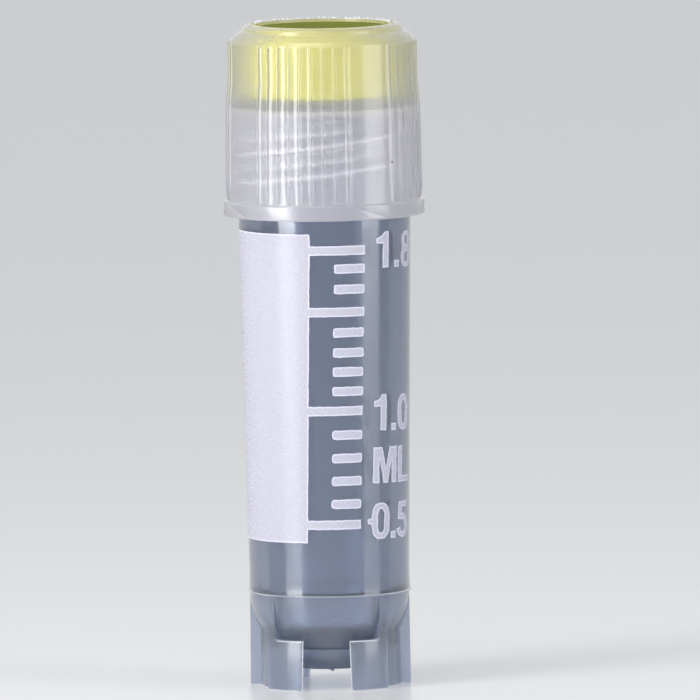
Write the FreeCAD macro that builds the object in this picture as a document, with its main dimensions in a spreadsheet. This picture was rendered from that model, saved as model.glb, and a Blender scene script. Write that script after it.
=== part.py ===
import FreeCAD, Part
import math
import os

import Sketcher

# A self-standing cryovial: a moulded tube with a threaded neck and a star foot, a screw cap
# with a colour insert in its top, and a flat gasket between the two.
# Frame: millimetres, +Z along the tube, origin on the table under the middle of the foot.
# The slots of the foot face -Y (front) and +Y (back).

os.makedirs("parts", exist_ok=True)
doc = FreeCAD.newDocument("cryovial")

# ---------------------------------------------------------------- driving dimensions

SIZES = [
    # alias, value, meaning
    ("mouth_height", 41.8, "table to the mouth of the tube"),
    ("neck_height", 6.4, "shoulder to mouth"),
    ("tube_radius", 6.27, "outside of the tube at the shoulder"),
    ("tube_taper", 0.47, "how much less the radius is at the foot"),
    ("shoulder_step", 0.67, "shoulder in to the root of the thread"),
    ("shoulder_edge", 0.2, "chamfer of the shoulder"),
    ("neck_wall", 0.8, "wall of the neck under the thread"),
    ("lip_edge", 0.15, "chamfer of the mouth"),
    ("bore_taper", 0.43, "how much less the bore radius is at its foot"),
    ("bore_dome", 1.4, "depth of the round floor of the bore"),
    ("floor_wall", 1.75, "floor of the tube at its middle"),
    ("ring_height", 6.92, "table to the parting ring above the foot"),
    ("ring_width", 0.16, "height of the parting ring"),
    ("ring_proud", 0.05, "how far the parting ring stands out"),
    ("leg_wall", 1.45, "thickness of the legs of the foot"),
    ("leg_rise", 0.77, "ledge of the legs above the edge of the dome"),
    ("dome_gap", 0.09, "dome to the inside of the skirt"),
    ("dome_round", 1.72, "rounding of the dome"),
    ("gate_radius", 0.25, "stub of the moulding gate"),
    ("gate_length", 0.35, "length of that stub"),
    ("slot_half", 1.72, "half the width of the slots in the foot"),
    ("leg_end", 48.8, "angle from the slot's middle to a leg's far end, degrees"),
    ("rib_angle", 7.4, "angle that an upright rib takes, degrees"),
    ("side_rib_half", 0.3, "half the thickness of the side ribs"),
    ("bay_wall", 0.75, "skirt wall in the bays between the ribs"),
    ("bay_rise", 0.15, "how far the skirt reaches up into the round underside"),
    ("thread_lead", 4.2, "rise of the thread in one turn"),
    ("thread_depth", 0.45, "height of the thread ridges"),
    ("thread_bury", 0.1, "how far a ridge's root reaches into its wall"),
    ("ridge_root", 1.05, "width of a ridge at its root"),
    ("ridge_crest", 0.55, "width of a ridge at its crest"),
    ("thread_gap", 0.12, "crest to root, tube to cap"),
    ("thread_start", 1.35, "shoulder to the middle of the first ridge"),
    ("thread_end", 0.93, "last ridge's middle to the mouth"),
    ("thread_pull", 0.1, "how far the cap's ridges sit above mid-gap"),
    ("seal_thickness", 0.5, "gasket"),
    ("seal_inset", 0.05, "gasket's edges from the bore and the cap's wall"),
    ("ceiling_wall", 0.7, "cap between the gasket and the recess"),
    ("recess_depth", 5.3, "depth of the recess in the cap's top"),
    ("cap_wall", 0.87, "cap outside its thread"),
    ("cap_draft", 0.16, "how much less the cap's radius is at its top"),
    ("cap_neck", 0.1, "drop of the radius above the cap's ceiling"),
    ("cap_top_wall", 1.88, "cap around the recess"),
    ("skirt_overlap", 1.0, "how far the cap reaches below the shoulder"),
    ("skirt_gap", 0.08, "cap to tube at the flange"),
    ("flange_height", 1.1, "flange at the cap's lower edge"),
    ("flange_proud", 0.26, "flange beyond the cap's wall"),
    ("flange_edge", 0.14, "chamfer of the flange"),
    ("crown_height", 1.35, "wall's end to the rim of the cap"),
    ("crown_edge_in", 0.28, "chamfer above the cap's wall, inwards"),
    ("crown_edge_up", 0.43, "chamfer above the cap's wall, upwards"),
    ("rim_width", 0.6, "flat of the rim"),
    ("rim_bevel_in", 0.28, "bevel outside the rim, across"),
    ("rim_bevel_down", 0.18, "bevel outside the rim, down"),
    ("rim_foot_out", 0.12, "lean of the step below the bevel"),
    ("rim_foot_down", 0.55, "rim to the foot of that step"),
    ("grip_depth", 0.15, "height of a grip rib"),
    ("grip_width", 0.34, "thickness of a grip rib"),
    ("grip_bury", 0.2, "how far a grip rib reaches into the wall"),
    ("grip_pitch", 7.2, "angle between grip ribs, degrees"),
    ("grip_count", 9, "grip ribs in a group"),
    ("grip_groups", 4, "groups of grip ribs"),
    ("grip_turn", -11.4, "angle of a group's middle from +X, degrees"),
    ("insert_gap", 0.03, "insert to the recess"),
    ("insert_drop", 0.25, "insert's top below the cap's rim"),
    ("insert_top", 1.0, "insert's top, at its middle"),
    ("insert_dish", 0.3, "dish in the insert's top"),
    ("insert_wall", 0.95, "insert's skirt"),
]

sheet = doc.addObject("Spreadsheet::Sheet", "sizes")
for row, (alias, value, meaning) in enumerate(SIZES, start=1):
    sheet.set(f"A{row}", meaning)
    sheet.set(f"B{row}", str(value))
    sheet.setAlias(f"B{row}", alias)
doc.recompute()

# Places worked out from the sheet, as expressions that the sketches and features share.
SHOULDER_Z = "(sizes.mouth_height - sizes.neck_height)"
RING_LOW_Z = "(sizes.ring_height - sizes.ring_width / 2)"
RING_HIGH_Z = "(sizes.ring_height + sizes.ring_width / 2)"
FOOT_R = "(sizes.tube_radius - sizes.tube_taper)"
NECK_R = "(sizes.tube_radius - sizes.shoulder_step)"
MOUTH_R = f"({NECK_R} - sizes.neck_wall)"
BORE_LOW_R = f"({MOUTH_R} - sizes.bore_taper)"
SKIRT_IN_R = f"({FOOT_R} - sizes.leg_wall)"
DOME_R = f"({SKIRT_IN_R} - sizes.dome_gap)"
DOME_EDGE_Z = f"({RING_LOW_Z} - sqrt({FOOT_R}^2 - {DOME_R}^2))"
DOME_LOW_Z = f"({DOME_EDGE_Z} - sizes.dome_round)"
FLOOR_Z = f"({DOME_LOW_Z} + sizes.floor_wall)"
BORE_LOW_Z = f"({FLOOR_Z} + sizes.bore_dome)"
BAY_R = f"({SKIRT_IN_R} + sizes.bay_wall)"
BAY_TOP_Z = f"({RING_LOW_Z} - sqrt({FOOT_R}^2 - {BAY_R}^2) + sizes.bay_rise)"

RIDGE_Z = f"({SHOULDER_Z} + sizes.thread_start)"
THREAD_R = f"({NECK_R} + sizes.thread_depth)"
CAP_BORE_R = f"({THREAD_R} + sizes.thread_gap)"
CAP_CREST_R = f"({NECK_R} + sizes.thread_gap)"
CAP_RIDGE_Z = f"({RIDGE_Z} + sizes.thread_lead / 4 + sizes.thread_pull)"
CEILING_Z = "(sizes.mouth_height + sizes.seal_thickness)"
RECESS_Z = f"({CEILING_Z} + sizes.ceiling_wall)"
RIM_Z = f"({RECESS_Z} + sizes.recess_depth)"
CAP_LOW_Z = f"({SHOULDER_Z} - sizes.skirt_overlap)"
FLANGE_TOP_Z = f"({CAP_LOW_Z} + sizes.flange_height)"
FLANGE_IN_R = "(sizes.tube_radius + sizes.skirt_gap)"
CAP_LOW_R = f"({CAP_BORE_R} + sizes.cap_wall)"
CAP_MID_R = f"({CAP_LOW_R} - sizes.cap_draft / 2)"
CAP_TOP_R = f"({CAP_LOW_R} - sizes.cap_draft - sizes.cap_neck)"
FLANGE_R = f"({CAP_LOW_R} + sizes.flange_proud)"
CROWN_Z = f"({RIM_Z} - sizes.crown_height)"
RECESS_R = f"({CAP_TOP_R} - sizes.cap_top_wall)"
STEP_R = f"({RECESS_R} + sizes.rim_width + sizes.rim_bevel_in)"
INSERT_R = f"({RECESS_R} - sizes.insert_gap)"
INSERT_TOP_Z = f"({RIM_Z} - sizes.insert_drop)"

# ---------------------------------------------------------------- helpers


def number(expression):
    """The value of an expression of sheet cells."""
    return float(sheet.evalExpression(expression))


def origin_part(body, role):
    """A plane or an axis of the body's own origin, such as XZ_Plane or Z_Axis."""
    for feature in body.Origin.OriginFeatures:
        if feature.Role == role:
            return feature
    raise ValueError(role)


def arc_through(start, end, radius, bulge):
    """The short arc between two points; it bows to the left of the way for a bulge of +1."""
    chord = end - start
    half = chord.Length / 2
    side = FreeCAD.Vector(-chord.y, chord.x, 0).normalize()
    rise = radius - math.sqrt(radius**2 - half**2)
    return Part.Arc(start, (start + end) / 2 + side * rise * bulge, end)


def add_outline(sketch, corners, arcs=None):
    """Adds a closed outline to a sketch, with every corner bound to the sheet.

    corners is a list of (across, up) expressions. arcs gives, for the edge that leaves
    corner i, the arc's radius as an expression and its bulge.
    """
    arcs = arcs or {}
    points = [FreeCAD.Vector(number(across), number(up), 0) for across, up in corners]
    count = len(points)
    edges = []
    for i, start in enumerate(points):
        end = points[(i + 1) % count]
        if i in arcs:
            radius, bulge = arcs[i]
            curve = arc_through(start, end, number(radius), bulge)
        else:
            curve = Part.LineSegment(start, end)
        edges.append(sketch.addGeometry(curve, False))

    starts = [1 if sketch.getPoint(edges[i], 1).distanceToPoint(points[i]) < 1e-6 else 2
              for i in range(count)]
    for i in range(count):
        before = i - 1
        end_of_before = 3 - starts[before]
        sketch.addConstraint(
            Sketcher.Constraint("Coincident", edges[before], end_of_before, edges[i], starts[i]))
        for word, axis, place, text in (("DistanceX", -2, points[i].x, corners[i][0]),
                                        ("DistanceY", -1, points[i].y, corners[i][1])):
            if text == "0":
                sketch.addConstraint(
                    Sketcher.Constraint("PointOnObject", edges[i], starts[i], axis))
                continue
            index = sketch.addConstraint(
                Sketcher.Constraint(word, -1, 1, edges[i], starts[i], place))
            sketch.setExpression(f"Constraints[{index}]", text)
        if i in arcs:
            index = sketch.addConstraint(
                Sketcher.Constraint("Radius", edges[i], number(arcs[i][0])))
            sketch.setExpression(f"Constraints[{index}]", arcs[i][0])


def add_sketch(body, name, plane):
    """An empty sketch on a plane of the body's own origin."""
    sketch = body.newObject("Sketcher::SketchObject", name)
    sketch.AttachmentSupport = (origin_part(body, plane), [""])
    sketch.MapMode = "FlatFace"
    return sketch


def add_body(name):
    """A body whose Label is its node's name."""
    body = doc.addObject("PartDesign::Body", name)
    body.Label = name
    return body


def add_revolution(body, name, corners, arcs=None):
    """A full turn of an outline in the XZ plane."""
    sketch = add_sketch(body, name + "_outline", "XZ_Plane")
    add_outline(sketch, corners, arcs)
    turn = body.newObject("PartDesign::Revolution", name)
    turn.Profile = sketch
    turn.ReferenceAxis = (sketch, ["V_Axis"])
    turn.Angle = 360
    doc.recompute()
    return turn


def add_upright(body, name, outlines, top):
    """Pads outlines in the XY plane from the table up to a height, with no pattern yet."""
    sketch = add_sketch(body, name + "_outline", "XY_Plane")
    for corners, arcs in outlines:
        add_outline(sketch, corners, arcs)
    pad = body.newObject("PartDesign::Pad", name)
    pad.Profile = sketch
    pad.setExpression("Length", top)
    doc.recompute()
    return pad


def four_quarters(body, feature, name):
    """Repeats a feature of one quarter in the other three by two mirrors."""
    both = body.newObject("PartDesign::MultiTransform", name)
    both.Originals = [feature]
    mirrors = []
    for plane in ("YZ_Plane", "XZ_Plane"):
        mirror = body.newObject("PartDesign::Mirrored", f"{name}_{plane[:2]}")
        mirror.MirrorPlane = (origin_part(body, plane), [""])
        mirrors.append(mirror)
    both.Transformations = mirrors
    body.Tip = both
    doc.recompute()


def add_thread(body, name, root, crest, height, turns):
    """Two ridges of a double-start, right-hand thread, standing from root to crest."""
    flank = ("sizes.ridge_root / 2", "sizes.ridge_crest / 2")
    corners = [
        (root, f"{height} - {flank[0]}"),
        (crest, f"{height} - {flank[1]}"),
        (crest, f"{height} + {flank[1]}"),
        (root, f"{height} + {flank[0]}"),
    ]
    sketch = add_sketch(body, name + "_outline", "XZ_Plane")
    add_outline(sketch, corners)
    ridge = body.newObject("PartDesign::AdditiveHelix", name)
    ridge.Profile = sketch
    ridge.ReferenceAxis = (sketch, ["V_Axis"])
    ridge.Mode = "pitch-turns-angle"
    ridge.setExpression("Pitch", "sizes.thread_lead")
    ridge.setExpression("Turns", turns)
    ridge.Angle = 0
    ridge.LeftHanded = False
    ridge.Reversed = False
    doc.recompute()
    starts = body.newObject("PartDesign::PolarPattern", name + "_starts")
    starts.Originals = [ridge]
    starts.Axis = (origin_part(body, "Z_Axis"), [""])
    starts.Angle = 360
    starts.Occurrences = 2
    body.Tip = starts
    doc.recompute()


# ---------------------------------------------------------------- tube


def make_vial_body():
    """The tube, its round floor, its threaded neck and its star foot: one moulding."""
    body = add_body("vial_body")
    tube = [
        ("0", FLOOR_Z),
        (BORE_LOW_R, BORE_LOW_Z),
        (MOUTH_R, "sizes.mouth_height - sizes.lip_edge"),
        (f"{MOUTH_R} + sizes.lip_edge", "sizes.mouth_height"),
        (f"{NECK_R} - sizes.lip_edge", "sizes.mouth_height"),
        (NECK_R, "sizes.mouth_height - sizes.lip_edge"),
        (NECK_R, SHOULDER_Z),
        ("sizes.tube_radius - sizes.shoulder_edge", SHOULDER_Z),
        ("sizes.tube_radius", f"{SHOULDER_Z} - sizes.shoulder_edge"),
        (FOOT_R, RING_HIGH_Z),
        (f"{FOOT_R} + sizes.ring_proud", RING_HIGH_Z),
        (f"{FOOT_R} + sizes.ring_proud", RING_LOW_Z),
        (FOOT_R, RING_LOW_Z),
        (DOME_R, DOME_EDGE_Z),
        (f"{DOME_R} - sizes.dome_round", DOME_LOW_Z),
        ("sizes.gate_radius", DOME_LOW_Z),
        ("sizes.gate_radius", f"{DOME_LOW_Z} - sizes.gate_length"),
        ("0", f"{DOME_LOW_Z} - sizes.gate_length"),
    ]
    floor_radius = f"(({BORE_LOW_R}^2 + sizes.bore_dome^2) / (2 * sizes.bore_dome))"
    rounds = {0: (floor_radius, -1), 12: (FOOT_R, 1), 13: ("sizes.dome_round", 1)}
    add_revolution(body, "tube", tube, rounds)

    def on_circle(radius, angle):
        return (f"{radius} * sin({angle})", f"{radius} * cos({angle})")

    def beside_slot(radius):
        return ("sizes.slot_half", f"sqrt({radius}^2 - sizes.slot_half^2)")

    leg = [beside_slot(SKIRT_IN_R), beside_slot(FOOT_R),
           on_circle(FOOT_R, "sizes.leg_end"), on_circle(SKIRT_IN_R, "sizes.leg_end")]
    legs = add_upright(body, "leg", [(leg, {1: (FOOT_R, 1), 3: (SKIRT_IN_R, -1)})],
                       f"{DOME_EDGE_Z} + sizes.leg_rise")
    four_quarters(body, legs, "legs")

    bay = [beside_slot(SKIRT_IN_R), beside_slot(BAY_R), (BAY_R, "0"), (SKIRT_IN_R, "0")]
    skirt = add_upright(body, "skirt", [(bay, {1: (BAY_R, 1), 3: (SKIRT_IN_R, -1)})], BAY_TOP_Z)
    four_quarters(body, skirt, "skirts")

    rib_start = "(sizes.leg_end - sizes.rib_angle)"
    rib = [on_circle(SKIRT_IN_R, rib_start), on_circle(FOOT_R, rib_start),
           on_circle(FOOT_R, "sizes.leg_end"), on_circle(SKIRT_IN_R, "sizes.leg_end")]
    side_rib = [(SKIRT_IN_R, "0"),
                (f"sqrt({SKIRT_IN_R}^2 - sizes.side_rib_half^2)", "sizes.side_rib_half"),
                (f"sqrt({FOOT_R}^2 - sizes.side_rib_half^2)", "sizes.side_rib_half"),
                (FOOT_R, "0")]
    ribs = add_upright(body, "rib", [
        (rib, {1: (FOOT_R, 1), 3: (SKIRT_IN_R, -1)}),
        (side_rib, {0: (SKIRT_IN_R, -1), 2: (FOOT_R, 1)}),
    ], "sizes.ring_height")
    four_quarters(body, ribs, "ribs")

    turns = "(sizes.neck_height - sizes.thread_start - sizes.thread_end) / sizes.thread_lead"
    add_thread(body, "neck_thread", f"{NECK_R} - sizes.thread_bury", THREAD_R, RIDGE_Z, turns)
    return body


# ---------------------------------------------------------------- cap


def make_cap_shell():
    """The screw cap: skirt with flange and grip ribs, ceiling, and a crown with a recess."""
    body = add_body("cap_shell")
    shell = [
        ("0", CEILING_Z),
        (CAP_BORE_R, CEILING_Z),
        (CAP_BORE_R, f"{SHOULDER_Z} + 2 * sizes.skirt_gap + {FLANGE_IN_R} - {CAP_BORE_R}"),
        (FLANGE_IN_R, f"{SHOULDER_Z} + 2 * sizes.skirt_gap"),
        (FLANGE_IN_R, CAP_LOW_Z),
        (f"{FLANGE_R} - sizes.flange_edge", CAP_LOW_Z),
        (FLANGE_R, f"{CAP_LOW_Z} + sizes.flange_edge"),
        (FLANGE_R, f"{FLANGE_TOP_Z} - sizes.flange_edge"),
        (CAP_LOW_R, FLANGE_TOP_Z),
        (CAP_MID_R, CEILING_Z),
        (CAP_TOP_R, f"{CEILING_Z} + sizes.thread_lead / 2"),
        (CAP_TOP_R, CROWN_Z),
        (f"{CAP_TOP_R} - sizes.crown_edge_in", f"{CROWN_Z} + sizes.crown_edge_up"),
        (f"{STEP_R} + sizes.rim_foot_out", f"{RIM_Z} - sizes.rim_foot_down"),
        (STEP_R, f"{RIM_Z} - sizes.rim_bevel_down"),
        (f"{RECESS_R} + sizes.rim_width", RIM_Z),
        (f"{RECESS_R} + sizes.insert_gap", RIM_Z),
        (RECESS_R, f"{RIM_Z} - sizes.insert_gap"),
        (RECESS_R, RECESS_Z),
        ("0", RECESS_Z),
    ]
    add_revolution(body, "shell", shell)

    turns = f"({CEILING_Z} - {CAP_RIDGE_Z} - sizes.thread_end) / sizes.thread_lead"
    add_thread(body, "cap_thread", f"{CAP_BORE_R} + sizes.thread_bury", CAP_CREST_R, CAP_RIDGE_Z, turns)

    grip = [
        (f"{CAP_LOW_R} - sizes.grip_bury", f"{FLANGE_TOP_Z} - sizes.flange_edge"),
        (f"{CAP_LOW_R} + sizes.grip_depth", f"{FLANGE_TOP_Z} - sizes.flange_edge"),
        (f"{CAP_MID_R} + sizes.grip_depth", CEILING_Z),
        (f"{CAP_TOP_R} + sizes.grip_depth", f"{CEILING_Z} + sizes.thread_lead / 2"),
        (f"{CAP_TOP_R} + sizes.grip_depth", f"{CROWN_Z} - sizes.grip_depth"),
        (CAP_TOP_R, CROWN_Z),
        (f"{CAP_TOP_R} - sizes.grip_bury", CROWN_Z),
    ]
    sketch = add_sketch(body, "grip_outline", "XZ_Plane")
    add_outline(sketch, grip)
    first = "sizes.grip_turn - sizes.grip_pitch * (sizes.grip_count - 1) / 2"
    sketch.AttachmentOffset = FreeCAD.Placement(
        FreeCAD.Vector(0, 0, 0), FreeCAD.Rotation(FreeCAD.Vector(0, 1, 0), number(first)))
    sketch.setExpression("AttachmentOffset.Rotation.Angle", first)
    rib = body.newObject("PartDesign::Pad", "grip_rib")
    rib.Profile = sketch
    rib.Midplane = True
    rib.setExpression("Length", "sizes.grip_width")
    doc.recompute()

    grips = body.newObject("PartDesign::MultiTransform", "grips")
    grips.Originals = [rib]
    group = body.newObject("PartDesign::PolarPattern", "grip_group")
    group.Axis = (origin_part(body, "Z_Axis"), [""])
    group.setExpression("Angle", "sizes.grip_pitch * (sizes.grip_count - 1)")
    group.setExpression("Occurrences", "sizes.grip_count")
    ring = body.newObject("PartDesign::PolarPattern", "grip_ring")
    ring.Axis = (origin_part(body, "Z_Axis"), [""])
    ring.Angle = 360
    ring.setExpression("Occurrences", "sizes.grip_groups")
    grips.Transformations = [group, ring]
    body.Tip = grips
    doc.recompute()
    return body


# ---------------------------------------------------------------- insert and gasket


def make_colour_insert():
    """The insert in the cap's top: a cup turned upside down, with a shallow dish on top."""
    body = add_body("colour_insert")
    inner = f"({INSERT_R} - sizes.insert_wall)"
    under = f"({INSERT_TOP_Z} - sizes.insert_dish - sizes.insert_top)"
    cup = [
        ("0", under),
        (inner, under),
        (inner, RECESS_Z),
        (INSERT_R, RECESS_Z),
        (INSERT_R, f"{INSERT_TOP_Z} - sizes.insert_dish / 2"),
        (f"{INSERT_R} - sizes.insert_dish / 2", INSERT_TOP_Z),
        (f"{INSERT_R} - sizes.insert_wall / 2", INSERT_TOP_Z),
        (inner, f"{INSERT_TOP_Z} - sizes.insert_dish"),
        ("0", f"{INSERT_TOP_Z} - sizes.insert_dish"),
    ]
    add_revolution(body, "cup", cup)
    return body


def make_seal_ring():
    """The flat gasket that the cap presses on the tube's mouth."""
    body = add_body("seal_ring")
    inner = f"{MOUTH_R} + sizes.seal_inset"
    outer = f"{CAP_CREST_R} - sizes.seal_inset"
    washer = [
        (inner, "sizes.mouth_height"),
        (outer, "sizes.mouth_height"),
        (outer, CEILING_Z),
        (inner, CEILING_Z),
    ]
    add_revolution(body, "washer", washer)
    return body


nodes = [make_vial_body(), make_cap_shell(), make_colour_insert(), make_seal_ring()]
doc.recompute()

# ---------------------------------------------------------------- checks and export

for item in doc.Objects:
    if "Invalid" in item.State or "Error" in item.State:
        raise RuntimeError(f"{item.Name} failed: {item.State}")

for node in nodes:
    shape = node.Shape
    if shape.isNull() or not shape.isValid():
        raise RuntimeError(f"{node.Label} has no valid shape")
    if len(shape.Solids) != 1:
        raise RuntimeError(f"{node.Label} is {len(shape.Solids)} solids")
    shape.exportStep(f"parts/{node.Label}.step")
    box = shape.BoundBox
    print(f"{node.Label}: {shape.Volume:.2f} mm3, z {box.ZMin:.3f} to {box.ZMax:.3f}, "
          f"x {box.XMin:.3f} to {box.XMax:.3f}")
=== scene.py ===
import math

import bmesh
import bpy
import numpy as np
from bpy.props import FloatProperty, FloatVectorProperty, IntProperty, PointerProperty
from mathutils import Matrix, Vector, noise


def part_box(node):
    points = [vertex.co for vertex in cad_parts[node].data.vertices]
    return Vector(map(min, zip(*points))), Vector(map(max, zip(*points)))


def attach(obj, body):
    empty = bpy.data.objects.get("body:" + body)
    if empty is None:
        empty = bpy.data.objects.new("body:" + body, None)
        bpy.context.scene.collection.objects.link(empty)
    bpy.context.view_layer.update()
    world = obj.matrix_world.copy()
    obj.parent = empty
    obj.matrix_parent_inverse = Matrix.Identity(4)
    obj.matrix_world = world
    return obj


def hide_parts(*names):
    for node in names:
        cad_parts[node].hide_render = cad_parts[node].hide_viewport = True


bl_info = {
    "name": "Cryovial",
    "version": (1, 0, 0),
    "blender": (4, 5, 0),
    "location": "View3D > Sidebar > Cryovial",
    "description": "A self-standing sample tube with its screw cap, gasket, colour insert and print",
    "category": "Object",
}

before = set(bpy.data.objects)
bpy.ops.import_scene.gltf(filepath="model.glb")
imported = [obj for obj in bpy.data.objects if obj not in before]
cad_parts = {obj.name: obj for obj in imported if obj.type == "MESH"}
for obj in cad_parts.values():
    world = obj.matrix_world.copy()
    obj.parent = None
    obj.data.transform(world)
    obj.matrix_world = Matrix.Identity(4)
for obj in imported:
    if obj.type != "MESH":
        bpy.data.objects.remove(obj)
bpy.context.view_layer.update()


MM = 0.001
FULL_TURN = 2 * math.pi
GREY = (0.8, 0.8, 0.8, 1)

# The number of the material of softened edges, whitened as a painted highlight, on every piece that
# has them.
PAINTED_GLINT_EDGE = 1

# The seed of the ink's uneven edges, so that they are the same every time.
PRINT_SEED = 9

# Mesh columns round the tube, and round the pieces that hide in the cap.
TUBE_COLUMNS = 256
HIDDEN_COLUMNS = 160

# How close to a wall's own radius a point lies on it.
ON_WALL = 0.0001 * MM

# How deep the marks of each surface are, and how rough the glossy skin of the plastic is.
FINE_RELIEF = 0.004 * MM
SOFT_RELIEF = 0.01 * MM
BURR_RELIEF = 0.02 * MM
INK_TOOTH = 0.006 * MM
SKIN_ROUGHNESS = 0.13
SILICONE_INDEX = 1.41

# The flow lines of the mould in waves per metre: fine round the tube, long up the wall.
FLOW_SCALE = (900, 900, 45)

TUBE_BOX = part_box("vial_body")
CAP_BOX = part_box("cap_shell")
INSERT_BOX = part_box("colour_insert")
GASKET_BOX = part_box("seal_ring")


def length(name, description, default):
    """A size that a user may change."""
    return FloatProperty(name=name, description=description, default=default, min=0,
                         precision=5, subtype="DISTANCE", unit="LENGTH")


def turn(name, description, default):
    """An angle that a user may change; default in degrees."""
    return FloatProperty(name=name, description=description, default=math.radians(default),
                         precision=3, subtype="ANGLE", unit="ROTATION")


def share(name, description, default, top=1.0):
    """A plain number that a user may change."""
    return FloatProperty(name=name, description=description, default=default, min=0, max=top)


def colour(name, description, default):
    """A colour that a user may change."""
    return FloatVectorProperty(name=name, description=description, default=default, size=3,
                               min=0, max=1, subtype="COLOR")


# ---------------------------------------------------------------- settings


class TubeSettings(bpy.types.PropertyGroup):
    mouth_height: length("Mouth height", "Table to the mouth", TUBE_BOX[1][2])
    neck_height: length("Neck height", "Shoulder to the mouth", 6.4 * MM)
    radius: length("Radius", "Outside of the tube at the shoulder", 6.27 * MM)
    foot_radius: length("Foot radius", "Outside of the tube at its foot", 5.80 * MM)
    neck_radius: length("Neck radius", "Root of the thread", 5.60 * MM)
    mouth_radius: length("Mouth radius", "Bore at the mouth", 4.80 * MM)
    bore_radius: length("Bore radius", "Bore above its round floor", 4.37 * MM)
    bore_dome: length("Bore floor", "Depth of the round floor", 1.40 * MM)
    floor_height: length("Floor height", "Table to the inside of the floor", 2.934 * MM)
    ring_height: length("Ring height", "Table to the parting ring", 6.92 * MM)
    ring_width: length("Ring width", "Height of the parting ring", 0.11 * MM)
    ring_proud: length("Ring step", "How far the parting ring stands out", 0.05 * MM)
    dome_radius: length("Dome radius", "Edge of the domed underside", 4.26 * MM)
    dome_round: length("Dome rounding", "Rounding of the domed underside", 1.58 * MM)
    gate_radius: length("Gate radius", "Stub of the moulding gate", 0.25 * MM)
    gate_length: length("Gate length", "How far that stub hangs down", 0.35 * MM)
    skirt_radius: length("Skirt radius", "Inside of the foot's skirt", 4.35 * MM)
    bay_radius: length("Bay radius", "Outside of the skirt between the ribs", 5.10 * MM)
    leg_top: length("Leg top", "Table to the ledge of the legs", 3.674 * MM)
    slot_half: length("Slot half width", "Half the slot at the front and back", 1.72 * MM)
    slot_draft: length("Slot draft", "How much wider the slot is at the table", 0.05 * MM)
    leg_end: turn("Leg end", "From the slot's middle to the far end of a leg", 48.8)
    rib_angle: turn("Rib angle", "What an upright rib takes of the turn", 7.4)
    side_rib: length("Side rib", "Thickness of the ribs at the sides", 0.60 * MM)
    foot_flare: length("Foot flare", "How far the foot opens at the table", 0.04 * MM)


class ThreadSettings(bpy.types.PropertyGroup):
    lead: length("Lead", "Rise in one turn", 4.2 * MM)
    starts: IntProperty(name="Starts", description="Ridges side by side", default=2, min=1)
    depth: length("Depth", "Height of a ridge", 0.45 * MM)
    root: length("Root", "Width of a ridge at its root", 1.05 * MM)
    crest: length("Crest", "Width of a ridge at its crest", 0.55 * MM)
    fade: share("Fade", "Share of a turn over which a ridge's end fades", 0.05)
    tube_low: length("Tube ridge", "Table to the start of the tube's ridge", 36.75 * MM)
    tube_turns: share("Tube turns", "Turns of the tube's ridges", 0.981, 4)
    cap_low: length("Cap ridge", "Table to the start of the cap's ridge", 37.90 * MM)
    cap_turns: share("Cap turns", "Turns of the cap's ridges", 0.826, 4)
    row_step: length("Row step", "Distance of the mesh rows on a thread", 0.08 * MM)


class CapSettings(bpy.types.PropertyGroup):
    low: length("Lower edge", "Table to the cap's lower edge", CAP_BOX[0][2])
    rim: length("Rim", "Table to the cap's rim", CAP_BOX[1][2])
    flange_radius: length("Flange radius", "Outside of the flange", CAP_BOX[1][0])
    flange_height: length("Flange height", "Height of the flange", 1.1 * MM)
    skirt_radius: length("Skirt radius", "Bore around the tube's shoulder", 6.35 * MM)
    bore_radius: length("Bore radius", "Root of the cap's thread", 6.17 * MM)
    wall_low: length("Wall, low", "Outside of the wall above the flange", 7.04 * MM)
    wall_mid: length("Wall, ceiling", "Outside of the wall at the ceiling", 6.96 * MM)
    wall_top: length("Wall, top", "Outside of the wall below the crown", 6.78 * MM)
    ceiling: length("Ceiling", "Table to the underside that meets the gasket", GASKET_BOX[1][2])
    recess_floor: length("Recess floor", "Table to the floor of the recess", INSERT_BOX[0][2])
    recess_radius: length("Recess radius", "Radius of the recess", 4.90 * MM)
    crown_height: length("Crown height", "From the end of the wall to the rim", 1.35 * MM)
    grip_depth: length("Grip depth", "Height of a grip rib", 0.10 * MM)
    grip_width: length("Grip width", "Thickness of a grip rib", 0.34 * MM)
    grip_pitch: turn("Grip pitch", "From rib to rib", 7.2)
    grip_count: IntProperty(name="Grip ribs", description="Ribs in a group", default=9, min=1)
    grip_groups: IntProperty(name="Grip groups", description="Groups of ribs", default=4, min=1)
    grip_turn: turn("Grip turn", "Middle of a group from the side", -11.4)


class InsertSettings(bpy.types.PropertyGroup):
    radius: length("Radius", "Outside of the insert", INSERT_BOX[1][0])
    top: length("Top", "Table to the insert's rim", INSERT_BOX[1][2])
    thickness: length("Top thickness", "Thickness of the top", 1.0 * MM)
    dish: length("Dish", "Depth of the dish in the top", 0.10 * MM)
    wall: length("Wall", "Thickness of the skirt", 0.95 * MM)


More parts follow.
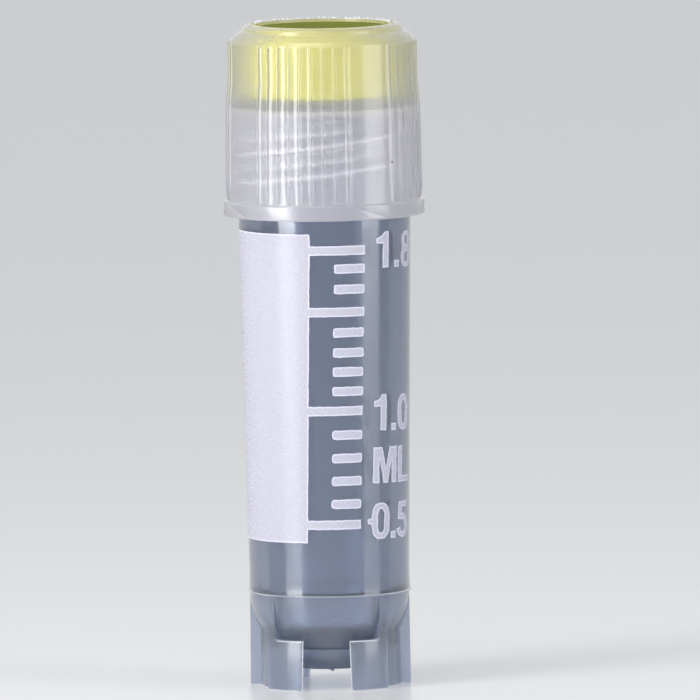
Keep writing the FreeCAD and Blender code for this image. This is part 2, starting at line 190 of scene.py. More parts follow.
class PrintSettings(bpy.types.PropertyGroup):
    film: length("Film", "Thickness of the ink", 0.03 * MM)
    rim: length("Rim", "Width of the denser rim of a patch of ink", 0.10 * MM)
    unevenness: length("Unevenness", "How far the edge of the ink strays", 0.036 * MM)
    lean: turn("Lean", "How far the print turns for each millimetre of height", 0.228)
    lean_height: length("Lean height", "Height at which the angles below hold", 22 * MM)
    area_low: length("Area, low", "Table to the lower edge of the writing area", 10.86 * MM)
    area_high: length("Area, high", "Table to its upper edge", 33.40 * MM)
    area_start: turn("Area start", "Left edge of the writing area from the front", -140.0)
    area_end: turn("Area end", "Right edge of the writing area from the front", -9.6)
    bar_thickness: length("Bar thickness", "Thickness of the scale's bars", 0.68 * MM)
    bar_start: turn("Bar start", "Left end of the short bars", 6.9)
    bar_end: turn("Bar end", "Right end of all bars", 28.6)
    number_start: turn("Number start", "Left edge of the numbers", 37.4)
    number_height: length("Number height", "Height of the numbers", 2.64 * MM)
    number_fade: length("Number fade", "Distance to the side at which the ink has thinned",
                        6.15 * MM)
    thin_cover: share("Thin cover", "What the thinned ink still covers", 0.78)


class Finishes(bpy.types.PropertyGroup):
    tube_tint: colour("Tube", "Colour of the tube's surface", (0.52, 0.575, 0.70))
    tube_depth: colour("Tube depth", "Colour that light takes on inside", (0.50, 0.54, 0.625))
    tube_density: share("Tube density", "Strength of that colour per metre", 350, 5000)
    tube_clear: share("Tube clearness", "Share of light that passes a tube surface", 0.90)
    foot_clear: share("Foot clearness", "Share of light that passes a surface of the foot", 0.80)
    tube_haze: share("Tube haze", "How much the wall blurs what shows through it", 0.12)
    foot_haze: share("Foot haze", "How much the legs blur what shows through them", 0.33)
    cap_tint: colour("Cap", "Colour of the cap's surface", (0.84, 0.83, 0.86))
    cap_depth: colour("Cap depth", "Colour that light takes on inside", (0.55, 0.58, 0.63))
    cap_density: share("Cap density", "Strength of that colour per metre", 110, 5000)
    cap_haze: share("Cap haze", "How much the cap blurs what shows through it", 0.37)
    # Painted glow: the insert's yellow light in the cap wall, painted into its colour.
    cap_painted_glow: colour("Cap glow", "Colour of the cap where the insert shines through it",
                     (0.88, 0.86, 0.64))
    cap_clear: share("Cap clearness", "Share of light that passes a cap surface", 0.78)
    # Painted glow: the insert's yellow light, painted on the cap's recess and rim.
    recess_painted_glow_tint: colour("Recess", "Colour of the recess round the insert", (0.92, 0.90, 0.36))
    # Painted highlight: the whitish colour of thread ridges, softened edges, the burr and the
    # parting ring.
    painted_glint_tint: colour("Crests", "Colour of ridges, rubbed edges and the parting ring",
                       (0.93, 0.93, 0.97))
    insert_tint: colour("Insert", "Colour of the insert", (0.76, 0.73, 0.04))
    # Painted shade: a darker copy of the insert's colour for its top.
    insert_top_painted_shade_tint: colour("Insert top", "Colour of the insert's top", (0.24, 0.27, 0.06))
    gasket_tint: colour("Gasket", "Colour of the gasket", (0.62, 0.64, 0.68))
    ink_tint: colour("Ink", "Colour of the writing area", (0.61, 0.60, 0.70))
    thin_ink_tint: colour("Thin ink", "Colour of the bars and numbers", (0.60, 0.60, 0.73))
    ink_rim_tint: colour("Ink rim", "Colour of the rim of the ink", (0.80, 0.80, 0.94))
    index: share("Index", "How strongly the plastic bends light", 1.49, 2.0)


class StageSettings(bpy.types.PropertyGroup):
    floor_tint: colour("Floor", "Colour of the floor", (0.78, 0.78, 0.78))
    azimuth: turn("Azimuth", "Camera's angle round the object", 3.0)
    elevation: turn("Elevation", "Camera's angle above the table", 5.2)
    roll: turn("Roll", "Camera's turn about its own line of sight", -0.8)
    distance: length("Distance", "Camera to the object", 1.75)
    lens: FloatProperty(name="Lens", description="Focal length in millimetres", default=1236,
                        unit="CAMERA")
    aim_height: length("Aim height", "Table to the middle of the picture", 24.4 * MM)
    aim_side: length("Aim side", "Axis to the middle of the picture", 1.72 * MM)


# ---------------------------------------------------------------- outlines and skins


def arc(across, up, radius, start, end, count):
    """Points (radius, height) on an arc; angles in degrees, 0 outwards and 90 up."""
    return [(across + radius * math.cos(angle), up + radius * math.sin(angle))
            for angle in np.radians(np.linspace(start, end, count))]


def trace(corners, round_points=5):
    """The points of an outline through corners (across, up, rounding, longest step).

    The rounding is how far from its corner the round edge begins. The step is for the
    stretch that leaves the corner. Without them the corner is sharp and the stretch whole.
    """
    places = [Vector(corner[:2]) for corner in corners]
    points = []
    stretch = 0
    for i, place in enumerate(places):
        rounding, step = (*corners[i], 0, 0)[2:4]
        bend = [place]
        if rounding and 0 < i < len(places) - 1:
            start = place + (places[i - 1] - place).normalized() * rounding
            end = place + (places[i + 1] - place).normalized() * rounding
            bend = [start * (1 - t) ** 2 + place * (2 * t * (1 - t)) + end * t * t
                    for t in np.linspace(0, 1, round_points)]
        if points and stretch:
            gap = bend[0] - points[-1]
            count = math.ceil(gap.length / stretch)
            points += [points[-1] + gap * (k / count) for k in range(1, count)]
        points += bend
        stretch = step
    return np.array([tuple(point) for point in points])


def mesh_from(work, name):
    """The finished mesh of a piece of work in bmesh."""
    mesh = bpy.data.meshes.new(name)
    work.to_mesh(mesh)
    work.free()
    return mesh


def placed(name, data):
    """A new object in the scene."""
    thing = bpy.data.objects.new(name, data)
    bpy.context.scene.collection.objects.link(thing)
    return thing


def even_angles(count):
    """The angles of evenly spaced mesh columns, for one full turn."""
    return np.linspace(0, FULL_TURN, count, endpoint=False)


def ramp(values, low, high):
    """A smooth rise from 0 at low to 1 at high."""
    part = np.clip((values - low) / (high - low), 0, 1)
    return part * part * (3 - 2 * part)


def turned(name, outline, angles, shape=None, closed=False):
    """A skin of revolution, through an outline and round the axis.

    The outline runs so that the outside lies on its left when it goes down. angles holds
    one row of angles, or one row for each point. shape(radius, height, angle) may move the
    points. A point on the axis becomes a single vertex, unless the outline is closed.
    """
    angles = np.broadcast_to(angles, (len(outline), np.shape(angles)[-1]))
    rows, columns = angles.shape
    radius = np.repeat(outline[:, :1], columns, axis=1)
    height = np.repeat(outline[:, 1:2], columns, axis=1)
    if shape:
        radius, height = shape(radius, height, angles)
    points = np.stack([radius * np.cos(angles), radius * np.sin(angles), height], axis=-1)
    index = np.arange(rows * columns).reshape(rows, columns)
    rings = np.vstack([index, index[:1]]) if closed else index[1:-1]
    ahead = np.roll(rings, -1, axis=1)
    faces = []
    if not closed:
        faces += [(index[0, 0], a, b) for a, b in zip(rings[0], ahead[0])]
        faces += [(index[-1, 0], b, a) for a, b in zip(rings[-1], ahead[-1])]
    quads = np.stack([rings[:-1], rings[1:], ahead[1:], ahead[:-1]], axis=-1).reshape(-1, 4)
    faces += quads.tolist()
    mesh = bpy.data.meshes.new(name)
    mesh.from_pydata(points.reshape(-1, 3).tolist(), [], faces)
    work = bmesh.new()
    work.from_mesh(mesh)
    bmesh.ops.delete(work, geom=[v for v in work.verts if not v.link_faces], context="VERTS")
    work.to_mesh(mesh)
    work.free()
    return mesh


def ridge_height(radius, height, angle, low, turns, thread):
    """How far the ridges of a thread stand out of their wall, at every point."""
    flank = (thread.root - thread.crest) / 2
    result = np.zeros_like(radius)
    for start in range(thread.starts):
        way = (angle / FULL_TURN - start / thread.starts) % 1.0
        for lap in range(math.ceil(turns)):
            along = way + lap
            middle = low + thread.lead * along
            profile = (thread.root / 2 - np.abs(height - middle)) / flank
            ends = ramp(along, 0, thread.fade) * (1 - ramp(along, turns - thread.fade, turns))
            result = np.maximum(result, ramp(profile, 0, 1) * ends)
    return result * thread.depth


def above_ridge(point, low, thread):
    """How high a point is above the middle of the nearest ridge of a thread."""
    pitch = thread.lead / thread.starts
    way = math.atan2(point.y, point.x) / FULL_TURN % 1.0
    return (point.z - low - way * thread.lead + pitch / 2) % pitch - pitch / 2


def block(name, stations, place, tops, low=0.0):
    """A standing piece of wall: place(station, outside, height) gives its points.

    tops[i] is the height between stations i and i + 1, so a wall may step up on its way.
    """
    levels = sorted({low, *tops})
    work = bmesh.new()
    corner = {}

    def vertex(i, outside, height):
        key = (i, outside, height)
        if key not in corner:
            corner[key] = work.verts.new(Vector((*place(stations[i], outside, height), height)))
        return corner[key]

    def face(*keys):
        work.faces.new([vertex(*key) for key in keys])

    bands = list(zip(levels, levels[1:]))
    for i, top in enumerate(tops):
        for below, above in bands:
            if above <= top:
                for outside in (False, True):
                    face((i, outside, below), (i + 1, outside, below),
                         (i + 1, outside, above), (i, outside, above))
        for height in (low, top):
            face((i, False, height), (i + 1, False, height),
                 (i + 1, True, height), (i, True, height))
    heights = [low, *tops, low]
    for i in range(len(stations)):
        before, after = sorted((heights[i], heights[i + 1]))
        for below, above in bands:
            if before <= below and above <= after:
                face((i, False, below), (i, True, below), (i, True, above), (i, False, above))
    bmesh.ops.recalc_face_normals(work, faces=work.faces)
    return mesh_from(work, name)


def soften_edges(mesh, width, below, sharp_angle=math.radians(30)):
    """Rounds the sharp edges of a block that lie below a height, and gives them the material that
    paints a highlight on them.
    """
    work = bmesh.new()
    work.from_mesh(mesh)
    sharp = [edge for edge in work.edges
             if edge.calc_face_angle(0) > sharp_angle
             and max(v.co.z for v in edge.verts) <= below]
    bmesh.ops.bevel(work, geom=sharp, offset=width, segments=3, affect="EDGES", profile=0.5,
                    clamp_overlap=True, material=PAINTED_GLINT_EDGE)
    work.to_mesh(mesh)
    work.free()


def mirrored(mesh, name, across, along):
    """A copy of a mesh, mirrored in the YZ plane, the XZ plane, both or neither."""
    copy = mesh.copy()
    copy.name = name
    copy.transform(Matrix.Diagonal((across, along, 1, 1)))
    if across * along < 0:
        copy.flip_normals()
    return copy


def joined(name, mesh, additions, materials):
    """One closed skin round a mesh and what is added to it; all have the same materials."""
    for part in (mesh, *additions):
        for material in materials:
            part.materials.append(material)
    thing = placed(name, mesh)
    helpers = [placed(addition.name, addition) for addition in additions]
    for helper in helpers:
        union = thing.modifiers.new(helper.name, "BOOLEAN")
        union.operation = "UNION"
        union.solver = "MANIFOLD"
        union.object = helper
    graph = bpy.context.evaluated_depsgraph_get()
    result = bpy.data.meshes.new_from_object(thing.evaluated_get(graph))
    for helper in (*helpers, thing):
        old = helper.data
        bpy.data.objects.remove(helper)
        bpy.data.meshes.remove(old)
    result.name = name
    return result


def add_piece(name, mesh, materials, body, stands_for=None, sharp=40, where=None):
    """Puts a mesh in the scene as a piece that rides on a body.

    The edges sharper than an angle in degrees stay sharp. where maps a material to the test
    (centre, radius) for its faces; softened edges keep their painted highlight.
    """
    mesh.shade_smooth()
    mesh.set_sharp_from_angle(angle=math.radians(sharp))
    for material in materials[len(mesh.materials):]:
        mesh.materials.append(material)
    for material, is_there in (where or {}).items():
        for face in mesh.polygons:
            centre = face.center
            if face.material_index != PAINTED_GLINT_EDGE and is_there(centre, centre.to_2d().length):
                face.material_index = materials.index(material)
    piece = placed(name, mesh)
    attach(piece, body)
    if stands_for:
        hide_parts(stands_for)
    return piece


# ---------------------------------------------------------------- finishes


def set_inputs(node, inputs):
    """Gives the inputs of a node their values; a value that is a socket is linked."""
    for key, value in inputs.items():
        if isinstance(value, bpy.types.NodeSocket):
            node.id_data.links.new(value, node.inputs[key])
        else:
            node.inputs[key].default_value = value


def add_node(tree, kind, inputs=None, **settings):
    """A node with its settings and the values of its inputs."""
    node = tree.nodes.new(kind)
    for key, value in settings.items():
        setattr(node, key, value)
    set_inputs(node, inputs or {})
    return node


def add_math(tree, operation, *values):
    """The result of a sum of two or three values."""
    return add_node(tree, "ShaderNodeMath", dict(enumerate(values)), operation=operation).outputs[0]


def add_scaled(tree, colour_in, factor):
    """A colour made brighter or darker by a factor."""
    return add_node(tree, "ShaderNodeVectorMath", {0: colour_in, "Scale": factor},
                    operation="SCALE").outputs[0]


def add_range(tree, value, to_low, to_high, low=0.0, high=1.0):
    """A value that goes from to_low to to_high while its input goes from low to high."""
    return add_node(tree, "ShaderNodeMapRange",
                    {"Value": value, "From Min": low, "From Max": high,
                     "To Min": to_low, "To Max": to_high}).outputs[0]


def add_noise(tree, place, scale, detail):
    """Soft noise between 0 and 1, so many spots to the metre."""
    return add_node(tree, "ShaderNodeTexNoise",
                    {"Vector": place, "Scale": scale, "Detail": detail}).outputs[0]


def add_place(tree, space="Object"):
    """Where a point of the surface is, in metres."""
    return add_node(tree, "ShaderNodeTexCoord").outputs[space]


def add_axis(tree, axis, space="Object"):
    """How far a point of the surface is along one axis."""
    return add_node(tree, "ShaderNodeSeparateXYZ", {0: add_place(tree, space)}).outputs[axis]


def shared_group(name, inputs, fill):
    """The node group of this name; it is made the first time.

    inputs maps its inputs to their defaults, a colour or a number. fill(group, inputs) adds
    its nodes and gives its outputs by name.
    """
    if name in bpy.data.node_groups:
        return bpy.data.node_groups[name]
    group = bpy.data.node_groups.new(name, "ShaderNodeTree")
    for label, default in inputs.items():
        kind = "NodeSocketFloat" if isinstance(default, float) else "NodeSocketColor"
        socket = group.interface.new_socket(name=label, in_out="INPUT", socket_type=kind)
        socket.default_value = default
    outputs = fill(group, group.nodes.new("NodeGroupInput").outputs)
    for label in outputs:
        kind = "NodeSocketColor" if label == "Color" else "NodeSocketFloat"
        group.interface.new_socket(name=label, in_out="OUTPUT", socket_type=kind)
    add_node(group, "NodeGroupOutput", outputs)
    return group


def fill_moulded(group, inputs):
    """The flow lines, fine grain and cloudy gloss of a moulded plastic."""
    place = add_place(group)
    along = add_node(group, "ShaderNodeMapping", {"Vector": place, "Scale": FLOW_SCALE})
    flow = add_noise(group, along.outputs[0], 1.0, 3.0)
    grain = add_noise(group, place, 2600.0, 2.0)
    clouds = add_range(group, add_noise(group, place, 260.0, 4.0), -0.5, 0.5, 0.3, 0.7)
    shade = add_math(group, "MULTIPLY_ADD", clouds, inputs["Unevenness"], 1.0)
    gloss = add_math(group, "MULTIPLY_ADD", clouds, 0.6, 1.0)
    streaks = add_math(group, "MULTIPLY", flow, inputs["Flow"])
    return {"Color": add_scaled(group, inputs["Tint"], shade),
            "Roughness": add_math(group, "MULTIPLY", gloss, inputs["Roughness"]),
            "Height": add_math(group, "MULTIPLY_ADD", grain, 0.25, streaks)}


def fill_ink(group, inputs):
    """The mottle and the fine tooth of matte screen ink."""
    place = add_place(group)
    tooth = add_noise(group, place, 7000.0, 2.0)
    cloud = add_noise(group, place, 900.0, 3.0)
    both = add_math(group, "MULTIPLY_ADD", cloud, 0.25, tooth)
    centred = add_math(group, "SUBTRACT", both, 0.625)
    shade = add_math(group, "MULTIPLY_ADD", centred, inputs["Mottle"], 1.0)
    return {"Color": add_scaled(group, inputs["Tint"], shade),
            "Roughness": add_range(group, tooth, 0.22, 0.32),
            "Height": tooth}


def fill_rise(group, inputs):
    """A mask that rises from 0 to 1 over a stretch of height."""
    mask = add_node(group, "ShaderNodeMapRange",
                    {"Value": add_axis(group, "Z"), "From Min": inputs["Start"],
                     "From Max": inputs["End"]}, interpolation_type="SMOOTHSTEP")
    return {"Mask": mask.outputs[0]}


def add_rise(tree, start, end):
    """The mask that rises between two heights."""
    group = shared_group("rise with height", {"Start": 0.0, "End": 1.0}, fill_rise)
    return add_node(tree, "ShaderNodeGroup", {"Start": start, "End": end},
                    node_tree=group).outputs["Mask"]


def new_material(name):
    """A material with nodes, its node tree and its shader."""
    material = bpy.data.materials.new(name)
    material.use_nodes = True
    return material, material.node_tree, material.node_tree.nodes["Principled BSDF"]


def marked_material(name, marks_group, values, strength, depth):
    """A material whose colour, roughness and relief come from the marks of a node group."""
    material, tree, shader = new_material(name)
    marks = add_node(tree, "ShaderNodeGroup", node_tree=marks_group, name="marks")
    set_inputs(marks, values)
    relief = add_node(tree, "ShaderNodeBump", {"Height": marks.outputs["Height"],
                                               "Strength": strength, "Distance": depth})
    set_inputs(shader, {"Base Color": marks.outputs["Color"],
                        "Roughness": marks.outputs["Roughness"],
                        "Normal": relief.outputs[0]})
    return material, tree, shader


def let_lamps_through(tree, shader, tint):
    """Lets the light of lamps pass straight through a clear surface, coloured by a tint."""
    rays = add_node(tree, "ShaderNodeLightPath")
    passing = add_node(tree, "ShaderNodeBsdfTransparent", {"Color": (*tint, 1)})
    both = add_node(tree, "ShaderNodeMixShader",
                    {0: rays.outputs["Is Shadow Ray"], 1: shader.outputs[0],
                     2: passing.outputs[0]})
    set_inputs(tree.nodes["Material Output"], {"Surface": both.outputs[0]})


def plastic(name, tint, index, clear, haze, relief=FINE_RELIEF, flow=0.5, unevenness=0.06,
            depth_tint=(1, 1, 1), density=0.0, skin=1.0):
    """A moulded plastic; clear is the share of light that passes each surface.

    The haze blurs what shows through it, and a glossy skin lies over it. Inside, light is
    coloured by depth_tint, the more the higher the density per metre.
    """
    group = shared_group("moulded plastic", {"Tint": GREY, "Roughness": 0.1,
                                             "Unevenness": 0.05, "Flow": 0.5}, fill_moulded)
    values = {"Tint": (*tint, 1), "Roughness": haze, "Unevenness": unevenness, "Flow": flow}
    material, tree, shader = marked_material(name, group, values, strength=1.0, depth=relief)
    set_inputs(shader, {"IOR": index, "Transmission Weight": clear, "Coat Weight": skin,
                        "Coat Roughness": SKIN_ROUGHNESS})
    if clear:
        let_lamps_through(tree, shader, [(0.5 + 0.5 * clear) * value**0.5 for value in tint])
    if density:
        inside = add_node(tree, "ShaderNodeVolumeAbsorption",
                          {"Color": (*depth_tint, 1), "Density": density})
        set_inputs(tree.nodes["Material Output"], {"Volume": inside.outputs[0]})
    return material


def ink_material(name, tint):
    """Matte screen ink with a fine tooth for writing on."""
    group = shared_group("screen ink", {"Tint": GREY, "Mottle": 0.1}, fill_ink)
    values = {"Tint": (*tint, 1), "Mottle": 0.15}
    return marked_material(name, group, values, strength=0.35, depth=INK_TOOTH)[0]


# ---------------------------------------------------------------- tube


def shoulder_height(tube):
    """Table to the shoulder where the neck begins."""
    return tube.mouth_height - tube.neck_height


def ring_span(tube):
    """The heights of the parting ring's lower and upper edge."""
    return tube.ring_height - tube.ring_width / 2, tube.ring_height + tube.ring_width / 2


def wall_radius(tube, height):
    """Outside of the tapered wall, from the parting ring to the shoulder."""
    low, high = ring_span(tube)[1], shoulder_height(tube)
    return tube.foot_radius + (tube.radius - tube.foot_radius) * ((height - low) / (high - low))


def tube_outline(tube, thread):
    """From the middle of the bore's floor, over the mouth and down to the gate."""
    shoulder = shoulder_height(tube)
    ring_low, ring_high = ring_span(tube)
    floor_radius = (tube.bore_radius**2 + tube.bore_dome**2) / (2 * tube.bore_dome)
    floor_turn = math.degrees(math.asin(tube.bore_radius / floor_radius))
    floor = arc(0, tube.floor_height + floor_radius, floor_radius, -90, floor_turn - 90,
                count=14)
    dome_turn = math.degrees(math.acos(tube.dome_radius / tube.foot_radius))
    under = arc(0, ring_low, tube.foot_radius, 0, -dome_turn, count=24)
    dome_edge = under[-1][1]
    dome_low = dome_edge - tube.dome_round
    rounding = arc(tube.dome_radius - tube.dome_round, dome_edge, tube.dome_round, 0, -90,
                   count=12)
    edge = 0.03 * MM
    corners = [
        *floor[:-1],
        (*floor[-1], 0.80 * MM, 2 * MM),
        (tube.mouth_radius, tube.mouth_height, 0.16 * MM),
        (tube.neck_radius, tube.mouth_height, 0.18 * MM, thread.row_step),
        (tube.neck_radius, shoulder, 0.12 * MM),
        (tube.radius, shoulder, 0.22 * MM, 1.5 * MM),
        (tube.foot_radius, ring_high, edge),
        (tube.foot_radius + tube.ring_proud, ring_high, edge),
        (tube.foot_radius + tube.ring_proud, ring_low, edge),
        (tube.foot_radius, ring_low, edge),
        *under[1:],
        *rounding[1:],
        (tube.gate_radius + 0.25 * MM, dome_low),
        (tube.gate_radius, dome_low, 0.06 * MM),
        (tube.gate_radius, dome_low - tube.gate_length, 0.08 * MM),
        (0, dome_low - tube.gate_length),
    ]
    return trace(corners)


def bump_at(values, width):
    """A soft bump: 1 where a value is 0, and next to nothing two widths away."""
    return np.exp(-(values / width) ** 2)


def tube_shape(tube, thread):
    """Raises the thread on the neck and the small burrs where the mould parts."""
    burr_depth, burr_height, burr_turn = 0.09 * MM, 0.12 * MM, 0.02
    gate_slant = 0.10 * MM
    under_dome = tube.floor_height - 1.8 * MM

    def shape(radius, height, angle):
        """The moved radius and height of every point."""
        on_neck = (np.abs(radius - tube.neck_radius) < ON_WALL) & (height > shoulder_height(tube))
        ridge = ridge_height(radius, height, angle, thread.tube_low, thread.tube_turns, thread)
        radius = radius + np.where(on_neck, ridge, 0)
        sides = bump_at(np.sin(angle / 2), burr_turn) + bump_at(np.cos(angle / 2), burr_turn)
        burr = bump_at(height - tube.ring_height, burr_height) * sides * burr_depth
        outside = radius > tube.foot_radius - 0.01 * MM
        at_gate = (radius < 1.2 * tube.gate_radius) & (height < under_dome)
        slant = gate_slant * np.cos(angle) * radius / tube.gate_radius
        return radius + np.where(outside, burr, 0), height - np.where(at_gate, slant, 0)
    return shape


def foot_blocks(tube):
    """The legs with their ribs, the thin skirt between them and the two side ribs."""
    skirt_sunk, side_sunk = 0.01 * MM, 0.2 * MM

    def flared(height):
        return tube.foot_radius + tube.foot_flare * (1 - height / tube.ring_height)

    def leg_place(station, outside, height):
        radius = flared(height) if outside else tube.skirt_radius
        slot = tube.slot_half + tube.slot_draft * (1 - 2 * height / tube.leg_top)
        start = math.asin(slot / radius)
        angle = start + (tube.leg_end - start) * station
        return radius * math.sin(angle), radius * math.cos(angle)

    def skirt_place(station, outside, height):
        radius = tube.bay_radius if outside else tube.skirt_radius + skirt_sunk
        reach = tube.leg_end - tube.rib_angle / 2
        angle = reach + (math.pi - 2 * reach) * station
        return radius * math.sin(angle), radius * math.cos(angle)

    def side_place(station, outside, height):
        radius = flared(height) if outside else tube.skirt_radius + side_sunk
        across = tube.side_rib * (0.5 - station)
        return math.sqrt(radius**2 - across**2), across

    ledge_parts, rib_parts, skirt_parts, side_parts = 9, 3, 30, 2
    edge_width, thin_edge_width = 0.09 * MM, 0.07 * MM
    ledge_turn = tube.leg_end - math.asin(tube.slot_half / tube.foot_radius)
    rib_start = 1 - tube.rib_angle / ledge_turn
    stations = [*np.linspace(0, rib_start, ledge_parts + 1),
                *np.linspace(rib_start, 1, rib_parts + 1)[1:]]
    tops = [tube.leg_top] * ledge_parts + [tube.ring_height] * rib_parts
    leg = block("leg", stations, leg_place, tops)
    soften_edges(leg, edge_width, tube.leg_top + 2 * MM)
    # The skirt reaches up into the dome, and stays a hair above the table.
    bay_top = ring_span(tube)[0] + 0.15 * MM \
        - math.sqrt(tube.foot_radius**2 - tube.bay_radius**2)
    skirt = block("skirt", np.linspace(0, 1, skirt_parts + 1), skirt_place,
                  [bay_top] * skirt_parts, 0.006 * MM)
    soften_edges(skirt, edge_width, 0.1 * MM)
    side = block("side", np.linspace(0, 1, side_parts + 1), side_place,
                 [tube.ring_height] * side_parts)
    soften_edges(side, thin_edge_width, 0.9 * tube.ring_height)
    return [mirrored(shape, f"{shape.name}_{across}_{along}", across, along)
            for shape, ways in ((leg, (1, -1)), (skirt, (1,)), (side, (1,)))
            for across in (1, -1) for along in ways]


class CRYOVIAL_OT_tube(bpy.types.Operator):
    """Make the tube: threaded neck, bore, round floor, parting ring and star foot"""
    bl_idname = "cryovial.make_tube"
    bl_label = "Make tube"

    def execute(self, context):
        tube, thread = context.scene.cryovial_tube, context.scene.cryovial_thread
        looks = context.scene.cryovial_finishes
        barrel = turned("barrel", tube_outline(tube, thread), even_angles(TUBE_COLUMNS),
                        tube_shape(tube, thread))
        wall = self.wall_plastic("tube_plastic", looks.tube_clear, tube, looks)
        # Softened edges: whitened and less clear, a painted highlight of edges catching the light.
        painted_edge_glint = plastic("tube_edges", looks.painted_glint_tint, looks.index, clear=0.5, haze=0.3)
        # Whitish, nearly opaque thread flanks: painted highlight lines that show through the cap.
        ridge = plastic("tube_ridges", looks.painted_glint_tint, looks.index, clear=0.18, haze=0.3)
        # The parting ring gets a whiter, less clear plastic: a painted highlight along it.
        ring = plastic("tube_ring", looks.painted_glint_tint, looks.index, clear=0.82, haze=0.2)
        foot = self.wall_plastic("foot_plastic", looks.foot_clear, tube, looks)
        materials = (wall, painted_edge_glint, ridge, ring, foot)
        mesh = joined("tube_moulding", barrel, foot_blocks(tube), materials)

        def on_painted_glint_flank(centre, radius):
            """The lower flank of the thread's ridges, whitened as a painted highlight of the light
            it catches.
            """
            return radius > tube.neck_radius + 0.3 * thread.depth \
                and centre.z > shoulder_height(tube) \
                and -0.42 * MM < above_ridge(centre, thread.tube_low, thread) < -0.05 * MM

        def on_painted_glint_ring(centre, radius):
            """The outer edge of the parting ring, made lighter as a painted highlight."""
            return abs(centre.z - tube.ring_height) < tube.ring_width \
                and radius > tube.foot_radius + 0.7 * tube.ring_proud

        def on_foot(centre, radius):
            """All that lies outside the bore, below the parting ring."""
            under_floor = tube.floor_height - 0.1 * MM
            return centre.z < ring_span(tube)[0] \
                and (radius > tube.skirt_radius or centre.z < under_floor)

        add_piece("tube_moulding", mesh, materials, "vial", "vial_body",
                  sharp=35, where={ridge: on_painted_glint_flank, foot: on_foot, ring: on_painted_glint_ring})
        return {"FINISHED"}

    def wall_plastic(self, name, clear, tube, looks):
        """The tube's plastic; it is hazier in the legs than in the wall."""
        material = plastic(name, looks.tube_tint, looks.index, clear, looks.tube_haze,
                           depth_tint=looks.tube_depth, density=looks.tube_density)
        tree = material.node_tree
        mask = add_rise(tree, tube.leg_top, tube.ring_height)
        haze = add_range(tree, mask, looks.foot_haze, looks.tube_haze)
        set_inputs(tree.nodes["marks"], {"Roughness": haze})
        return material


# ---------------------------------------------------------------- cap

# The steps of the cap's crown: radius, depth below the rim, rounding and longest step, all
# in millimetres.
CROWN_STEPS = (
    (5.50, 0.0, 0.14, 0.0),
    (5.80, 0.17, 0.08, 0.0),
    (5.93, 0.50, 0.04, 0.15),
    (6.20, 0.65, 0.05, 0.15),
    (6.55, 0.92, 0.06, 0.12),
)


def wall_ends(cap):
    """The heights of the cap's wall: the top of the flange and the foot of the crown."""
    return cap.low + cap.flange_height, cap.rim - cap.crown_height


def cap_outline(cap, thread):
    """From the middle of the recess, over the crown, down the wall and up the bore."""
    flange_top, wall_end = wall_ends(cap)
    shoulder = cap.low + 1.0 * MM
    corners = [
        (0, cap.recess_floor, 0, 1.5 * MM),
        (cap.recess_radius, cap.recess_floor, 0.1 * MM, 1.5 * MM),
        (cap.recess_radius, cap.rim, 0.08 * MM, 0.07 * MM),
        *((radius * MM, cap.rim - down * MM, rounding * MM, step * MM)
          for radius, down, rounding, step in CROWN_STEPS),
        (cap.wall_top, wall_end + 0.12 * MM, 0.10 * MM, 0.07 * MM),
        (cap.wall_top, wall_end - 0.05 * MM, 0.02 * MM, 0.8 * MM),
        (cap.wall_top, cap.ceiling + 2.1 * MM, 0.3 * MM, 0.5 * MM),
        (cap.wall_mid, cap.ceiling, 0.3 * MM, 0.8 * MM),
        (cap.wall_low, flange_top, 0.10 * MM),
        (cap.flange_radius, flange_top, 0.14 * MM),
        (cap.flange_radius, cap.low, 0.16 * MM),
        (cap.skirt_radius, cap.low, 0.09 * MM),
        (cap.skirt_radius, shoulder + 0.16 * MM, 0.06 * MM),
        (cap.bore_radius, shoulder + 0.34 * MM, 0.06 * MM, thread.row_step),
        (cap.bore_radius, cap.ceiling, 0.35 * MM, 1.5 * MM),
        (0, cap.ceiling),
    ]
    return trace(corners)


def rib_middles(cap):
    """The angles of all grip ribs."""
    group_turn = FULL_TURN / cap.grip_groups
    first = cap.grip_turn - cap.grip_pitch * (cap.grip_count - 1) / 2
    return [group * group_turn + first + number * cap.grip_pitch
            for group in range(cap.grip_groups) for number in range(cap.grip_count)]


# Where the mesh columns stand on a rib, and its flanks begin and end, in parts of its width.
RIB_COLUMNS = (-0.48, -0.41, -0.35, -0.29, -0.22, 0, 0.22, 0.29, 0.35, 0.41, 0.48)
RIB_FLANK = (0.17, 0.49)
LAND_STEP = math.radians(3.2)


def cap_columns(cap):
    """Angles of the mesh columns: close together on every rib, wider on the plain lands."""
    middles = rib_middles(cap)
    offsets = cap.grip_width / cap.wall_low * np.array(RIB_COLUMNS)
    columns = [middle + offset for middle in middles for offset in offsets]
    for i, middle in enumerate(middles):
        after = middles[i + 1] if i + 1 < len(middles) else middles[0] + FULL_TURN
        low, high = middle + offsets[-1], after + offsets[0]
        count = max(1, round((high - low) / LAND_STEP))
        columns += list(np.linspace(low, high, count + 1)[1:-1])
    return np.sort(np.array(columns))


